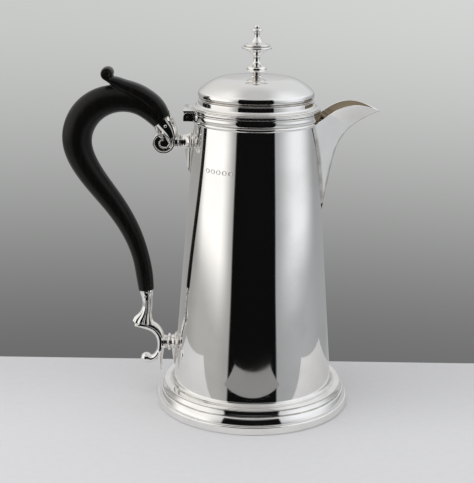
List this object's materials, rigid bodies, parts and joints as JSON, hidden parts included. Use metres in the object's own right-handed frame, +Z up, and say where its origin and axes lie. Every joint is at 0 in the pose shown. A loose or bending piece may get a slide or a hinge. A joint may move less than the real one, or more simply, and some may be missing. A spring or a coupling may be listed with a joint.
{
  "type": "silver coffee pot",
  "caption": "Tapering silver coffee pot with a moulded foot, high beak spout, hinged domed lid with a turned finial and a scrolled black wooden handle; the lid opens on its hinge.",
  "frame": {"origin": "on the pot's axis, in the plane of the foot's underside", "axes": "+Z up along the pot's axis, +X towards the spout, -X towards the handle; Y is the hinge line's direction"},
  "size_m": [0.1866, 0.1172, 0.23],
  "materials": {
    "silver": "mirror-polished silver with fine handling scratches",
    "silver_inside": "silver with a dull warm patina",
    "handle_wood": "ebonised hardwood, satin"
  },
  "bodies": {
    "pot": {"foot_band": "silver", "foot_moulding": "silver", "base_plate": "silver_inside", "body_shell": "silver", "mouth_moulding": "silver", "spout": "silver", "hinge_body_leaf": "silver", "hinge_pin": "silver_inside", "upper_backplate": "silver", "upper_neck": "silver", "upper_socket": "silver", "upper_handle_pin": "silver", "handle_grip": "handle_wood", "lower_handle_pin": "silver", "lower_ferrule": "silver", "lower_scroll": "silver", "lower_neck": "silver", "lower_backplate": "silver"},
    "lid": {"lid_flange": "silver", "lid_bezel": "silver_inside", "lid_dome": "silver", "hinge_lid_leaf": "silver", "finial": "silver", "finial_nut": "silver_inside"}
  },
  "joints": [
    {"name": "lid_hinge", "type": "hinge", "parent": "pot", "child": "lid", "pos_m": [-0.0396, 0, 0.1776], "axis": [0, -1, 0], "range_deg": [0, 85]}
  ]
}
